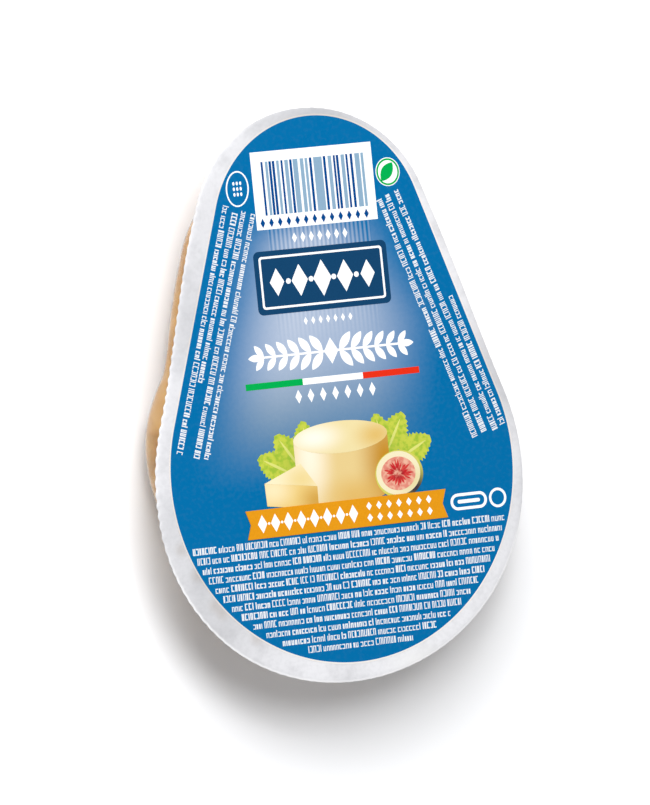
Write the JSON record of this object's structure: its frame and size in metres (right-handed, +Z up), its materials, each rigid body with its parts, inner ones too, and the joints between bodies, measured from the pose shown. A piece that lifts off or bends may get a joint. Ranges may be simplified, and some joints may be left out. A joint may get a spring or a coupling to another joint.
{
  "type": "sealed film pack of smoked scamorza cheese",
  "caption": "Pear-shaped sealed film pack of smoked scamorza cheese, lying on its filled pocket with the printed lid up.",
  "frame": {"origin": "bottom centre of the pack's box, on the surface that it lies on", "axes": "+Z up through the lid, +Y towards the cheese's narrow head, X across the pack"},
  "size_m": [0.1132, 0.1576, 0.0364],
  "materials": {
    "cheese": "smoked rind, satin, seen through clear film",
    "clear_film": "clear gloss film drawn tight over the cheese",
    "rim_film": "frosted white seal of both films, faintly creased",
    "lid_blue": "mid blue film print",
    "lid_haze": "lavender haze that fades into the blue",
    "lid_white": "white film print",
    "lid_navy": "dark blue film print",
    "lid_orange": "orange film print",
    "lid_green": "green film print",
    "lid_red": "red film print",
    "lid_food": "simple picture of cheese, fruit and leaves"
  },
  "bodies": {
    "root": {"filled_pocket": "cheese", "lid_film": "lid_blue"}
  },
  "joints": []
}
